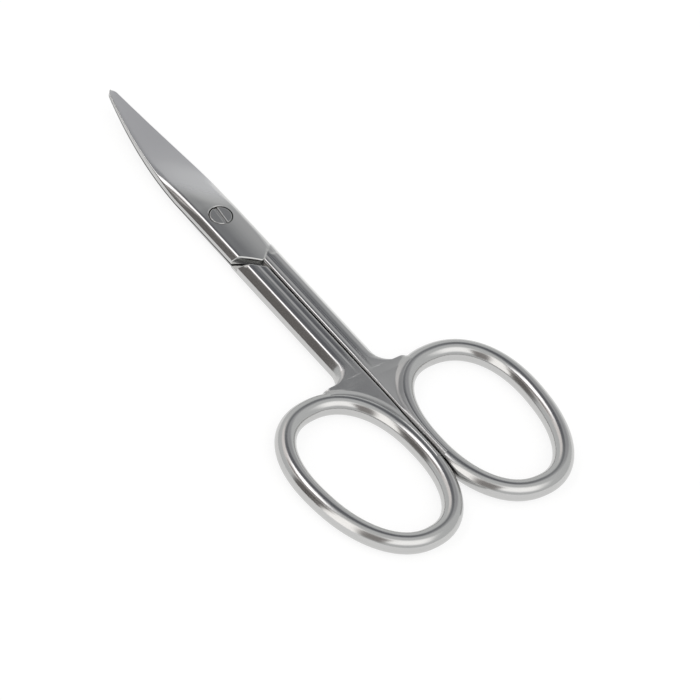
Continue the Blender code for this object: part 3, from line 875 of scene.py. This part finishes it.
def studio_world(settings):
    """A grey room with soft boxes and dark flags.

    Each light or flag is a flat rounded rectangle seen from the object: the direction is set
    out on its plane, and the two distances from its middle are faded over a soft border. The
    camera sees plain white in place of the room.
    """
    world = bpy.data.worlds.new("studio")
    world.use_nodes = True
    tree = world.node_tree
    direction = add_node(tree, "ShaderNodeTexCoord")
    colour = (*[settings.room_level * part for part in settings.room_colour], 1.0)
    for name, azimuth, elevation, turn, width, height, border, level, tint in STUDIO_PANELS:
        azimuth, elevation, turn = (math.radians(value) for value in (azimuth, elevation, turn))
        ahead = Vector((
            math.cos(azimuth) * math.cos(elevation),
            math.sin(azimuth) * math.cos(elevation),
            math.sin(elevation),
        ))
        side = Vector((-math.sin(azimuth), math.cos(azimuth), 0.0))
        up = ahead.cross(side)
        across = side * math.cos(turn) + up * math.sin(turn)
        upward = up * math.cos(turn) - side * math.sin(turn)
        depth = axis_value(tree, direction, ahead)
        mask = depth.step(0.0, PANEL_LEAST_DEPTH)
        for axis, reach in ((across, width), (upward, height)):
            offset = axis_value(tree, direction, axis) / depth.math("MAXIMUM", PANEL_LEAST_DEPTH)
            offset = offset.math("ABSOLUTE")
            half = math.tan(math.radians(reach / 2))
            mask = mask * (1 - offset.step(half * (1 - border), half * (1 + border)))
        panel_colour = (*[level * part for part in tint], 1.0)
        colour = mix_colours(tree, mask, colour, panel_colour, name)
    path = tree.nodes.new("ShaderNodeLightPath")
    background = tree.nodes["Background"]
    tree.links.new(colour.socket, background.inputs["Color"])
    white = add_node(tree, "ShaderNodeBackground", {}, {"Color": WHITE})
    sources = [path.outputs["Is Camera Ray"], background.outputs[0], white]
    seen = add_node(tree, "ShaderNodeMixShader", {}, sources)
    tree.links.new(seen.socket, tree.nodes["World Output"].inputs["Surface"])
    return world


# Settings


class ForgingSizes(bpy.types.PropertyGroup):
    """Sizes of the two forged halves."""

    blade_width: bpy.props.FloatProperty(
        name="Blade width",
        description="Widest part of the blade",
        default=6.9 * MM,
        unit="LENGTH",
        precision=5,
    )
    joint_width: bpy.props.FloatProperty(
        name="Joint width",
        description="Width over the joint plates",
        default=6.8 * MM,
        unit="LENGTH",
        precision=5,
    )
    plate_thickness: bpy.props.FloatProperty(
        name="Plate height",
        description="Joint plane to the plate's flat",
        default=1.45 * MM,
        unit="LENGTH",
        precision=5,
    )
    shank_width: bpy.props.FloatProperty(
        name="Shank width",
        description="Width of one shank",
        default=3.46 * MM,
        unit="LENGTH",
        precision=5,
    )
    shank_thickness: bpy.props.FloatProperty(
        name="Shank thickness",
        description="Height of a shank",
        default=3.1 * MM,
        unit="LENGTH",
        precision=5,
    )
    seam_edge: bpy.props.FloatProperty(
        name="Seam edge",
        description="Rounding beside the seam",
        default=0.35 * MM,
        unit="LENGTH",
        precision=5,
    )
    neck_radius: bpy.props.FloatProperty(
        name="Neck radius",
        description="Fillet from shank to ring",
        default=3.0 * MM,
        unit="LENGTH",
        precision=5,
    )
    ring_bar: bpy.props.FloatProperty(
        name="Ring bar",
        description="Diameter of the ring's bar",
        default=3.0 * MM,
        unit="LENGTH",
        precision=5,
    )
    slot_width: bpy.props.FloatProperty(
        name="Slot width",
        description="Width of the screw's slot",
        default=0.5 * MM,
        unit="LENGTH",
        precision=5,
    )


class SteelLooks(bpy.types.PropertyGroup):
    """Colour and polish of the steel."""

    colour: bpy.props.FloatVectorProperty(
        name="Steel colour",
        description="Reflected colour of the steel",
        subtype="COLOR",
        default=(0.56, 0.56, 0.555),
    )
    # Painted light: a lighter steel colour on the ground blade's face, which brightens it
    ground_painted_light_colour: bpy.props.FloatVectorProperty(
        name="Ground colour",
        description="Colour of the ground blades",
        subtype="COLOR",
        default=(0.66, 0.66, 0.67),
    )
    polish: bpy.props.FloatProperty(
        name="Polish",
        description="Roughness of shanks and rings",
        subtype="FACTOR",
        default=0.15,
        min=0.0,
        max=1.0,
    )
    grind: bpy.props.FloatProperty(
        name="Grind",
        description="Roughness of the blades",
        subtype="FACTOR",
        default=0.3,
        min=0.0,
        max=1.0,
    )
    web_satin: bpy.props.FloatProperty(
        name="Neck satin",
        description="Roughness the necks have above the polish",
        subtype="FACTOR",
        default=0.15,
        max=0.8,
    )


class StudioLooks(bpy.types.PropertyGroup):
    """Level and colour of the room."""

    room_level: bpy.props.FloatProperty(
        name="Room level",
        description="Brightness of the plain room",
        default=0.73,
        min=0.0,
        max=2.0,
    )
    room_colour: bpy.props.FloatVectorProperty(
        name="Room colour",
        description="Colour of the plain room",
        subtype="COLOR",
        default=(0.99, 1.0, 1.0),
    )


# Operators


class ForgingsOperator(bpy.types.Operator):
    """Build the blade, joint plate, shank and neck of each half"""

    bl_idname = "scissors.forgings"
    bl_label = "Blades and shanks"

    def execute(self, context):
        sizes = context.scene.scissors_sizes
        looks = context.scene.scissors_steel
        material = steel("forged_steel", looks, looks.web_satin)
        forging = forging_surface(sizes)
        for half, side in (("upper", 1), ("lower", -1)):
            name = f"{half}_blade_and_shank"
            mesh = closed_mesh(name, [(placed(forging, side), True, False)])
            if half == "upper":
                mesh = cut(mesh, turned("sink", sink_profile(sizes), SCREW_COLUMNS))
            add_piece(name, mesh, material, half, f"{half}_half")
        return {"FINISHED"}


class RingsOperator(bpy.types.Operator):
    """Build the finger ring of each half"""

    bl_idname = "scissors.rings"
    bl_label = "Finger rings"

    def execute(self, context):
        sizes = context.scene.scissors_sizes
        material = steel("ring_steel", context.scene.scissors_steel)
        ring = ring_surface(sizes)
        for half, side in (("upper", 1), ("lower", -1)):
            name = f"{half}_finger_ring"
            mesh = closed_mesh(name, [(placed(ring, side), True, True)])
            add_piece(name, mesh, material, half, f"{half}_half")
        return {"FINISHED"}


class ScrewOperator(bpy.types.Operator):
    """Build the slotted pivot screw"""

    bl_idname = "scissors.screw"
    bl_label = "Pivot screw"

    def execute(self, context):
        top, side = screw_surfaces(context.scene.scissors_sizes)
        mesh = closed_mesh("slotted_screw", [(top, False, False), (side, True, False)])
        material = steel("turned_steel", context.scene.scissors_steel)
        add_piece("slotted_screw", mesh, material, "lower", "pivot_screw")
        return {"FINISHED"}


class StudioOperator(bpy.types.Operator):
    """Set up the floor, lights and camera"""

    bl_idname = "scissors.studio"
    bl_label = "Studio"

    def execute(self, context):
        scene = context.scene
        floor_mesh = bpy.data.meshes.new("floor")
        corners = [(-FLOOR_REACH, -FLOOR_REACH, 0.0), (FLOOR_REACH, -FLOOR_REACH, 0.0)]
        corners += [(FLOOR_REACH, FLOOR_REACH, 0.0), (-FLOOR_REACH, FLOOR_REACH, 0.0)]
        floor_mesh.from_pydata(corners, [], [(0, 1, 2, 3)])
        floor_mesh.materials.append(floor_paint())
        floor = bpy.data.objects.new("floor", floor_mesh)
        scene.collection.objects.link(floor)
        scene.world = studio_world(scene.scissors_studio)
        lens = bpy.data.cameras.new("camera")
        lens.lens = CAMERA_LENS
        lens.clip_end = CAMERA_CLIP_END
        camera = bpy.data.objects.new("camera", lens)
        scene.collection.objects.link(camera)
        back = Vector((
            math.sin(CAMERA_AZIMUTH) * math.cos(CAMERA_ELEVATION),
            -math.cos(CAMERA_AZIMUTH) * math.cos(CAMERA_ELEVATION),
            math.sin(CAMERA_ELEVATION),
        ))
        level = Vector((0.0, 0.0, 1.0)).cross(back).normalized()
        right = Matrix.Rotation(CAMERA_ROLL, 3, back) @ level
        up = back.cross(right)
        place = Vector(PIVOT + AIM_FROM_PIVOT) + back * CAMERA_DISTANCE
        camera.matrix_world = Matrix.Translation(place) @ Matrix((right, up, back)).transposed().to_4x4()
        scene.camera = camera
        scene.view_settings.view_transform = "Standard"
        return {"FINISHED"}


class ScissorsPanel(bpy.types.Panel):
    """Sizes, looks and the steps that build the scissors"""

    bl_idname = "VIEW3D_PT_scissors"
    bl_label = "Nail scissors"
    bl_space_type = "VIEW_3D"
    bl_region_type = "UI"
    bl_category = "Scissors"

    def draw(self, context):
        scene = context.scene
        for group in (scene.scissors_sizes, scene.scissors_steel, scene.scissors_studio):
            box = self.layout.box()
            for name in group.bl_rna.properties.keys():
                if name not in ("rna_type", "name"):
                    box.prop(group, name)
        for step in STEPS:
            self.layout.operator(step.bl_idname)


SETTINGS = {
    "scissors_sizes": ForgingSizes,
    "scissors_steel": SteelLooks,
    "scissors_studio": StudioLooks,
}
STEPS = (ForgingsOperator, RingsOperator, ScrewOperator, StudioOperator)
CLASSES = (*SETTINGS.values(), *STEPS, ScissorsPanel)


def register():
    """Register the classes and hang the settings on the scene."""
    for item in CLASSES:
        bpy.utils.register_class(item)
    for name, group in SETTINGS.items():
        setattr(bpy.types.Scene, name, bpy.props.PointerProperty(type=group))


def unregister():
    """Take the settings and the classes away again."""
    for name in SETTINGS:
        delattr(bpy.types.Scene, name)
    for item in reversed(CLASSES):
        bpy.utils.unregister_class(item)


def main():
    """Build everything."""
    register()
    bpy.ops.scissors.forgings()
    bpy.ops.scissors.rings()
    bpy.ops.scissors.screw()
    bpy.ops.scissors.studio()


if __name__ == "__main__":
    main()
